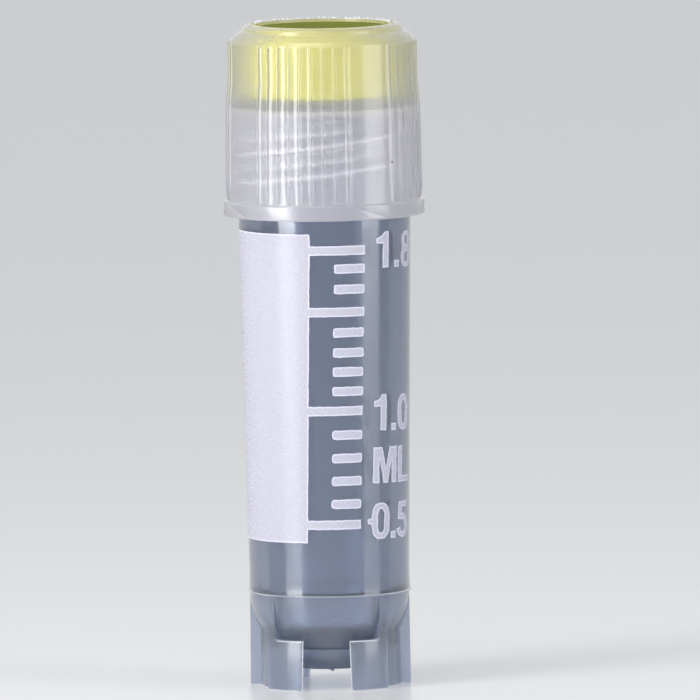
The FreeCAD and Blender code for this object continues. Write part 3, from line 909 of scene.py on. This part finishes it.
def cap_shape(cap, thread):
    """Raises the grip ribs, the inner thread, a frayed rim and a nick on each side."""
    middles = np.array(rib_middles(cap))
    flange_top, wall_end = wall_ends(cap)
    flank = [part * cap.grip_width for part in RIB_FLANK]
    fray_height, nick_depth, nick_height, nick_turn = 0.08 * MM, 0.12 * MM, 0.2 * MM, 0.0004

    def shape(radius, height, angle):
        """The moved radius and height of every point."""
        away = (angle[..., None] - middles + math.pi) % FULL_TURN - math.pi
        near = np.min(np.abs(away), axis=-1) * cap.wall_low
        reach = ramp(height, flange_top - 0.02 * MM, flange_top + 0.3 * MM) \
            * (1 - ramp(height, wall_end + 0.02 * MM, wall_end + 0.16 * MM))
        rib = (1 - ramp(near, *flank)) * reach * cap.grip_depth
        step_out = np.where(radius > cap.wall_top - 0.4 * MM, rib, 0)

        at_rim = (height > cap.rim - 0.02 * MM) & (radius < cap.recess_radius + 0.3 * MM)
        waves = np.sin(23 * angle) * np.sin(57 * angle + 1.3) + 0.7 * np.sin(91 * angle + 0.4)
        fray = fray_height * waves * ramp(np.sin(angle), -0.1, 0.2)
        height = height + np.where(at_rim, fray, 0)

        nick = np.exp((np.abs(np.cos(angle)) - 1) / nick_turn) \
            * bump_at(height - flange_top + 0.3 * MM, nick_height) * nick_depth
        step_out += np.where(radius > cap.wall_low + 0.1 * MM, nick, 0)

        on_bore = np.abs(radius - cap.bore_radius) < ON_WALL
        ridge = ridge_height(radius, height, angle, thread.cap_low, thread.cap_turns, thread)
        return radius + step_out - np.where(on_bore, ridge, 0), height
    return shape


class CRYOVIAL_OT_cap(bpy.types.Operator):
    """Make the screw cap: ribbed wall, flange, stepped crown, recess and inner thread"""
    bl_idname = "cryovial.make_cap"
    bl_label = "Make cap"

    def execute(self, context):
        cap, thread = context.scene.cryovial_cap, context.scene.cryovial_thread
        looks = context.scene.cryovial_finishes
        outline = cap_outline(cap, thread)
        mesh = turned("cap_moulding", outline, self.column_rows(cap, outline),
                      cap_shape(cap, thread))
        wall = self.wall_plastic(cap, looks)
        # The inner thread's crests get a whiter, less clear plastic: painted highlight lines.
        crest = plastic("cap_crest", looks.painted_glint_tint, looks.index, clear=0.7, haze=0.3)
        # The recess and rim near the insert are painted yellow to stand in for its light shining
        # through.
        recess = plastic("cap_recess", looks.recess_painted_glow_tint, looks.index, looks.cap_clear,
                         looks.cap_haze, skin=0.4)
        # The frayed burr on the rim is moulded; its whitish, nearly opaque plastic is a painted
        # highlight.
        burr = plastic("cap_burr", looks.painted_glint_tint, looks.index, clear=0.2, haze=0.4,
                       relief=BURR_RELIEF)

        def on_painted_glint_crest(centre, radius):
            """The crests of the inner thread, whitened as a painted highlight."""
            return cap.low + 1.5 * MM < centre.z < cap.ceiling - 0.3 * MM \
                and 5.5 * MM < radius < cap.bore_radius - 0.97 * thread.depth

        def on_painted_recess_glow(centre, radius):
            """The recess and the rim, as far as the insert's light is painted over them, wider at
            the front.
            """
            spread = (0.1 + 0.5 * float(ramp(-centre.y, -2 * MM, 3 * MM))) * MM
            return centre.z > cap.recess_floor - 0.1 * MM and radius < cap.recess_radius + spread

        def on_burr_glint(centre, radius):
            """The ragged burr on the rim, whitened as a painted highlight, which runs out towards
            the front.
            """
            angle = math.atan2(centre.y, centre.x)
            waves = 1 + 0.35 * math.sin(31 * angle) * math.sin(47 * angle + 1)
            width = 0.27 * MM * waves * float(ramp(centre.y, -0.5 * MM, 2 * MM))
            return centre.z > cap.rim - 0.06 * MM and radius < cap.recess_radius + width

        add_piece("cap_moulding", mesh, (wall, crest, recess, burr), "cap",
                  "cap_shell", sharp=50,
                  where={crest: on_painted_glint_crest, recess: on_painted_recess_glow, burr: on_burr_glint})
        return {"FINISHED"}

    def column_rows(self, cap, outline):
        """The angles of the columns at each point: in line with the ribs on the wall only."""
        ribbed = cap_columns(cap)
        even = ribbed[0] + even_angles(len(ribbed))
        on_wall = ramp(outline[:, 0], cap.recess_radius + 0.6 * MM, cap.wall_top - 0.3 * MM)
        on_wall[outline[:, 1] < cap.low + 0.3 * MM] = 0
        on_wall[np.argmin(outline[:, 1]) + 1:] = 0
        return even + (ribbed - even) * on_wall[:, None]

    def wall_plastic(self, cap, looks):
        """The cap's plastic, with the insert's yellow light painted into its colour from the ceiling
        up.
        """
        material = plastic("cap_plastic", looks.cap_tint, looks.index, looks.cap_clear,
                           looks.cap_haze, depth_tint=looks.cap_depth,
                           density=looks.cap_density)
        tree = material.node_tree
        # Painted glow of the insert, rising from below the ceiling to above the recess floor.
        mask = add_rise(tree, cap.ceiling - 0.2 * MM, cap.recess_floor + 0.4 * MM)
        glow = add_node(tree, "ShaderNodeMix",
                        {"Factor": mask, "A": (*looks.cap_tint, 1), "B": (*looks.cap_painted_glow, 1)},
                        data_type="RGBA")
        set_inputs(tree.nodes["marks"], {"Tint": glow.outputs["Result"]})
        self.add_speck(tree, (5.21 * MM, -4.675 * MM, 38.5 * MM), 0.10 * MM)
        return material

    def add_speck(self, tree, place, radius):
        """A dark speck in the wall: a trace of burnt plastic."""
        away = add_node(tree, "ShaderNodeVectorMath", {0: add_place(tree), 1: place},
                        operation="DISTANCE").outputs["Value"]
        clean = add_range(tree, away, 0.06, 1.0, 0.6 * radius, 1.4 * radius)
        tint = add_scaled(tree, tree.nodes["marks"].outputs["Color"], clean)
        set_inputs(tree.nodes["Principled BSDF"], {"Base Color": tint})


# ---------------------------------------------------------------- insert and gasket


class CRYOVIAL_OT_insert(bpy.types.Operator):
    """Make the colour insert that is pressed into the cap's recess"""
    bl_idname = "cryovial.make_insert"
    bl_label = "Make colour insert"

    def execute(self, context):
        insert, cap = context.scene.cryovial_insert, context.scene.cryovial_cap
        looks = context.scene.cryovial_finishes
        inner = insert.radius - insert.wall
        dish = insert.top - insert.dish
        under = dish - insert.thickness
        corners = [
            (0, dish, 0, 1 * MM),
            (inner - 0.2 * MM, dish, 0.25 * MM),
            (inner + 0.40 * MM, insert.top, 0.12 * MM),
            (insert.radius - 0.1 * MM, insert.top, 0.08 * MM),
            (insert.radius, insert.top - 0.2 * MM, 0.1 * MM, 1 * MM),
            (insert.radius, cap.recess_floor, 0.1 * MM),
            (inner, cap.recess_floor, 0.1 * MM, 1 * MM),
            (inner, under, 0.25 * MM, 1 * MM),
            (0, under),
        ]
        mesh = turned("insert_cup", trace(corners), even_angles(HIDDEN_COLUMNS))
        # The top gets a darker olive copy of the insert's colour: painted shade of a face that
        # catches little light.
        cup, top = (plastic(name, tint, looks.index, clear=0.0, haze=0.38, relief=SOFT_RELIEF,
                            flow=0.1, skin=0.0)
                    for name, tint in (("insert_plastic", looks.insert_tint),
                                       ("insert_top", looks.insert_top_painted_shade_tint)))
        for material in (cup, top):
            set_inputs(material.node_tree.nodes["Principled BSDF"], {"Specular IOR Level": 0.0})

        def on_painted_shade_top(centre, radius):
            """The dished top, with the inner half of its rim, darkened as painted shade."""
            margin = 0.05 * MM
            return centre.z > dish - margin and radius < insert.radius - margin

        add_piece("insert_cup", mesh, (cup, top), "cap", "colour_insert",
                  where={top: on_painted_shade_top})
        return {"FINISHED"}


class CRYOVIAL_OT_gasket(bpy.types.Operator):
    """Make the flat gasket between the mouth and the cap"""
    bl_idname = "cryovial.make_gasket"
    bl_label = "Make gasket"

    def execute(self, context):
        tube, looks = context.scene.cryovial_tube, context.scene.cryovial_finishes
        low, high = GASKET_BOX[0][2], GASKET_BOX[1][2]
        inner, outer = tube.mouth_radius + 0.05 * MM, GASKET_BOX[1][0]
        edge = 0.08 * MM
        middle = (inner + outer) / 2
        corners = [
            (middle, high),
            (outer, high, edge),
            (outer, low, edge),
            (inner, low, edge),
            (inner, high, edge),
            (middle - edge, high),
        ]
        mesh = turned("gasket", trace(corners), even_angles(HIDDEN_COLUMNS), closed=True)
        material = plastic("gasket_silicone", looks.gasket_tint, SILICONE_INDEX, clear=0.75,
                           haze=0.4, relief=SOFT_RELIEF, flow=0.0, skin=0.0)
        add_piece("gasket", mesh, (material,), "seal", "seal_ring")
        return {"FINISHED"}


# ---------------------------------------------------------------- print

# Heights of the scale's bars above the table, in millimetres, by volume in tenths of a
# millilitre; the steps are longer below 1.0, where the bore is narrower.
BAR_HEIGHTS = {
    5: 12.18, 6: 13.69, 7: 15.37, 8: 17.04, 9: 18.74, 10: 20.49, 11: 21.92, 12: 23.35,
    13: 24.74, 14: 26.21, 15: 27.71, 16: 29.37, 17: 30.86, 18: 32.20,
}
LONG_BARS = (5, 10, 15, 18)

# For each text: the height of its middle in millimetres, how much it sinks for each
# millimetre on its way, and where its characters begin, in millimetres.
NUMBERS = {
    "1.8": (32.16, 0.058, (0, 1.86, 2.70)),
    "1.0": (20.28, 0.060, (0.03, 1.77, 2.53)),
    "ML": (16.42, 0.030, (0.04, 2.70)),
    "0.5": (12.34, 0.026, (-0.05, 1.88, 2.64)),
}

# Where the ink of the lowest number has run, in parts of its height.
LOW_SPUR = ((0.0, 0.58), (-0.08, 0.57), (-0.11, 0.54), (-0.11, 0.45), (-0.08, 0.42),
            (0.0, 0.41))


def oval(across, up, half_width, half_height, squareness=2.6, count=48):
    """A closed oval with flattened sides, as a list of points."""
    def pushed_out(value):
        return math.copysign(abs(value) ** (2 / squareness), value)

    return [(across + half_width * pushed_out(math.cos(angle)),
             up + half_height * pushed_out(math.sin(angle)))
            for angle in even_angles(count)]


def bow(across, up, half_width, half_height, start, end, count=24):
    """Part of an ellipse, as a list of points; angles in degrees."""
    return [(across + half_width * math.cos(angle), up + half_height * math.sin(angle))
            for angle in np.radians(np.linspace(start, end, count))]


def bar(left, right, middle, thickness, left_corner, right_corner):
    """A bar with rounded corners, counter-clockwise, as a list of points."""
    low, high = middle - thickness / 2, middle + thickness / 2
    points = []
    for across, up, corner, start in (
            (right, low, right_corner, -90), (right, high, right_corner, 0),
            (left, high, left_corner, 90), (left, low, left_corner, 180)):
        inward = -1 if across == right else 1
        upward = -1 if up == high else 1
        points += bow(across + inward * corner, up + upward * corner, corner, corner,
                      start, start + 90, 5)
    return points


def glyph(character, spur=()):
    """The outlines of a bold narrow character of height 1: its edge and then its holes.

    A spur is where the ink of a 0 has run out over its left edge, from the top down.
    """
    if character == "0":
        edge = oval(0.34, 0.5, 0.34, 0.5)
        if spur:
            leftmost = len(edge) // 2
            edge[leftmost:leftmost + 1] = spur
        return [edge, oval(0.34, 0.5, 0.125, 0.33)]
    if character == "1":
        return [[(0.235, 0), (0.45, 0), (0.45, 1), (0.27, 1), (0.22, 0.90), (0.13, 0.84),
                 (0.0, 0.81), (0.0, 0.66), (0.235, 0.66)]]
    if character == "5":
        outer = bow(0.325, 0.33, 0.355, 0.335, 112, -165)
        inner = bow(0.325, 0.33, 0.145, 0.175, -170, 128)
        return [[(0.04, 0.50), (0.215, 0.50), *reversed(inner), *reversed(outer),
                 (0.25, 0.655), (0.27, 0.84), (0.62, 0.84), (0.62, 1), (0.10, 1)]]
    if character == "8":
        upper = bow(0.34, 0.745, 0.30, 0.255, -32, 212)
        lower = bow(0.34, 0.28, 0.335, 0.28, 148, 392)
        return [[*upper, *lower], oval(0.34, 0.745, 0.11, 0.135), oval(0.34, 0.275, 0.13, 0.155)]
    if character == ".":
        return [[(0, 0), (0.225, 0), (0.225, 0.20), (0, 0.20)]]
    if character == "M":
        return [[(0, 0), (0.22, 0), (0.22, 0.72), (0.37, 0), (0.55, 0), (0.70, 0.72), (0.70, 0),
                 (0.92, 0), (0.92, 1), (0.60, 1), (0.46, 0.40), (0.32, 1), (0, 1)]]
    return [[(0, 0), (0.69, 0), (0.69, 0.17), (0.225, 0.17), (0.225, 1), (0, 1)]]


def moved_in(outline, distance):
    """The outline moved to its left, which is inwards if it runs counter-clockwise.

    At a sharp corner, the point moves twice the distance at most.
    """
    points = [Vector(point) for point in outline]
    result = []
    for before, point, after in zip(points[-1:] + points, points, points[1:] + points[:1]):
        one, two = (point - before).normalized(), (after - point).normalized()
        left = Vector((-one.y, one.x)) + Vector((-two.y, two.x))
        result.append(point + left * (distance / max(left.length_squared / 2, 0.5)))
    return result


def ragged(outline, depth, step=0.15 * MM, wave=0.35 * MM):
    """The outline in short steps, with the slightly uneven edge of screen print."""
    points = [Vector(point) for point in outline]
    fine = []
    for point, after in zip(points, points[1:] + points[:1]):
        count = max(1, round((after - point).length / step))
        fine += [point.lerp(after, k / count) for k in range(count)]
    return [point + depth * noise.noise_vector(Vector((*point, 0)) / wave).to_2d()
            for point in fine]


def filled(outlines, thickness):
    """A flat closed plate with these outlines; an outline inside another is a hole."""
    curve = bpy.data.curves.new("plate", "CURVE")
    curve.dimensions = "2D"
    curve.fill_mode = "BOTH"
    curve.extrude = thickness / 2
    for outline in outlines:
        spline = curve.splines.new("POLY")
        spline.points.add(len(outline) - 1)
        for point, (across, up) in zip(spline.points, outline):
            point.co = (across, up, 0, 1)
        spline.use_cyclic_u = True
    holder = bpy.data.objects.new("plate", curve)
    mesh = bpy.data.meshes.new_from_object(holder)
    bpy.data.objects.remove(holder)
    bpy.data.curves.remove(curve)
    return mesh


def inked(outlines, ink, wear):
    """A flat patch of ink: a body, and a rim of its own where ink gathers.

    wear is how many times more uneven its edge is than that of the other ink.
    """
    work = bmesh.new()
    outlines = [ragged(outline, ink.unevenness * wear) for outline in outlines]
    inside = [moved_in(outline, -ink.rim if number else ink.rim)
              for number, outline in enumerate(outlines)]
    body = filled(inside, ink.film)
    rims = [filled([outer, inner], ink.film) for outer, inner in zip(outlines, inside)]
    for number, plate in enumerate((body, *rims)):
        for face in plate.polygons:
            face.material_index = int(number > 0)
        work.from_mesh(plate)
        bpy.data.meshes.remove(plate)
    bmesh.ops.remove_doubles(work, verts=work.verts, dist=ON_WALL)
    buried = [face for face in work.faces if abs(face.normal.z) < 0.5
              and any(len(edge.link_faces) > 2 for edge in face.edges)]
    bmesh.ops.delete(work, geom=buried, context="FACES")
    bmesh.ops.recalc_face_normals(work, faces=work.faces)
    if work.calc_volume(signed=True) < 0:
        bmesh.ops.reverse_faces(work, faces=work.faces)
    return mesh_from(work, "patch")


def wrapped(name, patches, tube, ink):
    """Lays patches of ink, drawn in metres along and up the wall, on the tapered tube."""
    along_step, up_step, closeness = 0.2 * MM, 1.5 * MM, 0.00001 * MM
    work = bmesh.new()
    for patch in patches:
        work.from_mesh(patch)
        bpy.data.meshes.remove(patch)
    for direction, step, normal in ((0, along_step, (1, 0, 0)), (1, up_step, (0, 1, 0))):
        values = [vertex.co[direction] for vertex in work.verts]
        for place in np.arange(min(values) + step, max(values), step):
            bmesh.ops.bisect_plane(work, geom=[*work.verts, *work.edges, *work.faces],
                                   plane_co=[place * part for part in normal],
                                   plane_no=normal, dist=closeness)
    bmesh.ops.dissolve_degenerate(work, edges=work.edges, dist=closeness)
    middle_radius = wall_radius(tube, ink.lean_height)
    for vertex in work.verts:
        along, up, out = vertex.co
        radius = wall_radius(tube, up) + out
        angle = along / middle_radius + ink.lean * (up - ink.lean_height) / MM
        vertex.co = (radius * math.sin(angle), -radius * math.cos(angle), up)
    return mesh_from(work, name)


class CRYOVIAL_OT_print(bpy.types.Operator):
    """Print the writing area, the scale and its numbers on the tube"""
    bl_idname = "cryovial.make_print"
    bl_label = "Make print"

    def execute(self, context):
        tube, ink = context.scene.cryovial_tube, context.scene.cryovial_print
        looks = context.scene.cryovial_finishes
        noise.seed_set(PRINT_SEED)
        radius = wall_radius(tube, ink.lean_height)
        body = ink_material("print_ink", looks.ink_tint)
        thin = ink_material("thin_ink", looks.thin_ink_tint)
        rim = ink_material("ink_rim", looks.ink_rim_tint)
        for material in (thin, rim):
            self.thin_out(material.node_tree, ink)
        for name, drawing, inside, wear in (
                ("writing_area", self.draw_area(ink, radius), body, 1.0),
                ("scale_bars", self.draw_bars(ink, radius), thin, 1.0),
                ("scale_numbers", self.draw_numbers(ink, radius), thin, 1.5)):
            patches = [inked(outlines, ink, wear) for outlines in drawing]
            add_piece(name, wrapped(name, patches, tube, ink), (inside, rim), "vial")
        return {"FINISHED"}

    def thin_out(self, tree, ink):
        """Lets the ink cover less and less towards the side of the tube."""
        cover = add_range(tree, add_axis(tree, "X"), 1.0, ink.thin_cover,
                          ink.number_fade - 1.3 * MM, ink.number_fade)
        set_inputs(tree.nodes["Principled BSDF"], {"Alpha": cover})

    def draw_area(self, ink, radius):
        """The writing area with the long bars that grow out of it."""
        left, right = ink.area_start * radius, ink.area_end * radius
        end, half = ink.bar_end * radius, ink.bar_thickness / 2
        edge = [(left, ink.area_low), (right, ink.area_low)]
        for volume in LONG_BARS:
            middle = BAR_HEIGHTS[volume] * MM
            edge += [(right, middle - half), (end, middle - half),
                     (end, middle + half), (right, middle + half)]
        edge += [(right, ink.area_high), (left, ink.area_high)]
        return [[edge]]

    def draw_bars(self, ink, radius):
        """The short bars; the low ones have rounder left ends."""
        start, end = ink.bar_start * radius, ink.bar_end * radius
        corner, low_corner, first_high = 0.14 * MM, 0.26 * MM, 10
        return [[bar(start, end, height * MM, ink.bar_thickness,
                     low_corner if volume < first_high else corner, corner)]
                for volume, height in BAR_HEIGHTS.items() if volume not in LONG_BARS]

    def draw_numbers(self, ink, radius):
        """The numbers and the unit."""
        start, size = ink.number_start * radius, ink.number_height
        characters = []
        for text, (height, sink, places) in NUMBERS.items():
            base = height * MM - size / 2
            spur = LOW_SPUR if text == "0.5" else ()
            for character, place in zip(text, places):
                characters.append([[(start + place * MM + x * size,
                                     base + y * size - sink * (place * MM + x * size))
                                    for x, y in outline]
                                   for outline in glyph(character, spur)])
        return characters


# ---------------------------------------------------------------- stage


def add_softbox(name, azimuth, distance, width, height, brightness, low=0.0, target=None):
    """A square-cornered lamp round the object; azimuth in degrees.

    It stands upright with its lower edge at a height, or leans towards a target height. A
    brightness of 1 makes its face as bright as a white wall in full light.
    """
    lamp = bpy.data.lights.new(name, "AREA")
    lamp.shape = "RECTANGLE"
    lamp.size, lamp.size_y = width, height
    lamp.energy = brightness * math.pi * width * height
    holder = placed(name, lamp)
    angle = math.radians(azimuth)
    place = Vector((math.sin(angle) * distance, -math.cos(angle) * distance, low + height / 2))
    aim = Vector((0, 0, place.z if target is None else target))
    holder.location = place
    holder.rotation_euler = (place - aim).to_track_quat("Z", "Y").to_euler()
    holder.visible_camera = False


class CRYOVIAL_OT_stage(bpy.types.Operator):
    """Set up the floor, the lamps, the surroundings and the camera"""
    bl_idname = "cryovial.make_stage"
    bl_label = "Make stage"

    def execute(self, context):
        scene, stage = context.scene, context.scene.cryovial_stage
        self.make_floor(stage)
        self.make_world(scene)
        add_softbox("key_softbox", azimuth=-49, distance=0.28, width=0.12, height=0.28,
                    brightness=6.3)
        add_softbox("fill_softbox", azimuth=67, distance=0.28, width=0.13, height=0.28,
                    brightness=3.0)
        add_softbox("top_softbox", azimuth=-28, distance=0.08, width=0.11, height=0.09,
                    brightness=2.2, low=0.15, target=0.04)
        self.make_camera(scene, stage)
        scene.view_settings.view_transform = "Standard"
        return {"FINISHED"}

    def make_floor(self, stage):
        """A wide satin floor, lifted a little towards white where the camera sees it."""
        reach, roughness, gloss, lift = 4.0, 0.28, 0.4, 0.10
        mesh = bpy.data.meshes.new("floor")
        mesh.from_pydata([(-reach, -reach, 0), (reach, -reach, 0), (reach, reach, 0),
                          (-reach, reach, 0)], [], [(0, 1, 2, 3)])
        placed("floor", mesh)
        material, tree, shader = new_material("floor")
        rays = add_node(tree, "ShaderNodeLightPath").outputs
        set_inputs(shader, {
            "Base Color": (*stage.floor_tint, 1), "Roughness": roughness,
            "Specular IOR Level": gloss, "Emission Color": (*stage.floor_tint, 1),
            "Emission Strength": add_math(tree, "MULTIPLY", rays["Is Camera Ray"], lift)})
        mesh.materials.append(material)

    def make_world(self, scene):
        """Pale surroundings, even where they are seen, and dimmer overhead where they light."""
        level_light, overhead_light, seen_strength = 0.66, 0.24, 0.92
        world = bpy.data.worlds.new("surroundings")
        scene.world = world
        world.use_nodes = True
        tree = world.node_tree
        light = add_range(tree, add_axis(tree, "Z", "Generated"), level_light, overhead_light)
        rays = add_node(tree, "ShaderNodeLightPath").outputs
        seen = add_math(tree, "MAXIMUM", rays["Is Camera Ray"], rays["Is Glossy Ray"])
        seen = add_math(tree, "MAXIMUM", seen, rays["Is Transmission Ray"])
        set_inputs(tree.nodes["Background"], {
            "Color": (0.95, 0.97, 1.0, 1),
            "Strength": add_range(tree, seen, light, seen_strength)})

    def make_camera(self, scene, stage):
        """A camera with a long lens, which looks slightly down on the object."""
        camera = placed("camera", bpy.data.cameras.new("camera"))
        camera.data.lens = stage.lens
        camera.data.clip_end = 20
        out = Vector((math.sin(stage.azimuth) * math.cos(stage.elevation),
                      -math.cos(stage.azimuth) * math.cos(stage.elevation),
                      math.sin(stage.elevation)))
        right = Vector((math.cos(stage.azimuth), math.sin(stage.azimuth), 0))
        aim = Vector((0, 0, stage.aim_height)) + right * stage.aim_side
        camera.location = aim + out * stage.distance
        look = out.to_track_quat("Z", "Y").to_matrix()
        camera.rotation_euler = (look @ Matrix.Rotation(stage.roll, 3, "Z")).to_euler()
        scene.camera = camera


class CRYOVIAL_PT_panel(bpy.types.Panel):
    """Lists the settings and the operators"""
    bl_idname = "CRYOVIAL_PT_panel"
    bl_label = "Cryovial"
    bl_space_type = "VIEW_3D"
    bl_region_type = "UI"
    bl_category = "Cryovial"

    def draw(self, context):
        for operator in OPERATORS:
            self.layout.operator(operator.bl_idname)
        for name, settings in SETTINGS.items():
            box = self.layout.box()
            box.label(text=name.replace("cryovial_", "").capitalize())
            for prop in settings.__annotations__:
                box.prop(getattr(context.scene, name), prop)


SETTINGS = {
    "cryovial_tube": TubeSettings,
    "cryovial_thread": ThreadSettings,
    "cryovial_cap": CapSettings,
    "cryovial_insert": InsertSettings,
    "cryovial_print": PrintSettings,
    "cryovial_finishes": Finishes,
    "cryovial_stage": StageSettings,
}
OPERATORS = (CRYOVIAL_OT_tube, CRYOVIAL_OT_cap, CRYOVIAL_OT_insert, CRYOVIAL_OT_gasket,
             CRYOVIAL_OT_print, CRYOVIAL_OT_stage)


def register():
    """Adds the settings, the operators and the panel."""
    for item in (*SETTINGS.values(), *OPERATORS, CRYOVIAL_PT_panel):
        bpy.utils.register_class(item)
    for name, settings in SETTINGS.items():
        setattr(bpy.types.Scene, name, PointerProperty(type=settings))


def unregister():
    """Takes them all away again."""
    for name in SETTINGS:
        delattr(bpy.types.Scene, name)
    for item in reversed((*SETTINGS.values(), *OPERATORS, CRYOVIAL_PT_panel)):
        bpy.utils.unregister_class(item)


def main():
    """Makes every piece and the stage."""
    register()
    bpy.ops.cryovial.make_tube()
    bpy.ops.cryovial.make_cap()
    bpy.ops.cryovial.make_insert()
    bpy.ops.cryovial.make_gasket()
    bpy.ops.cryovial.make_print()
    bpy.ops.cryovial.make_stage()


if __name__ == "__main__":
    main()
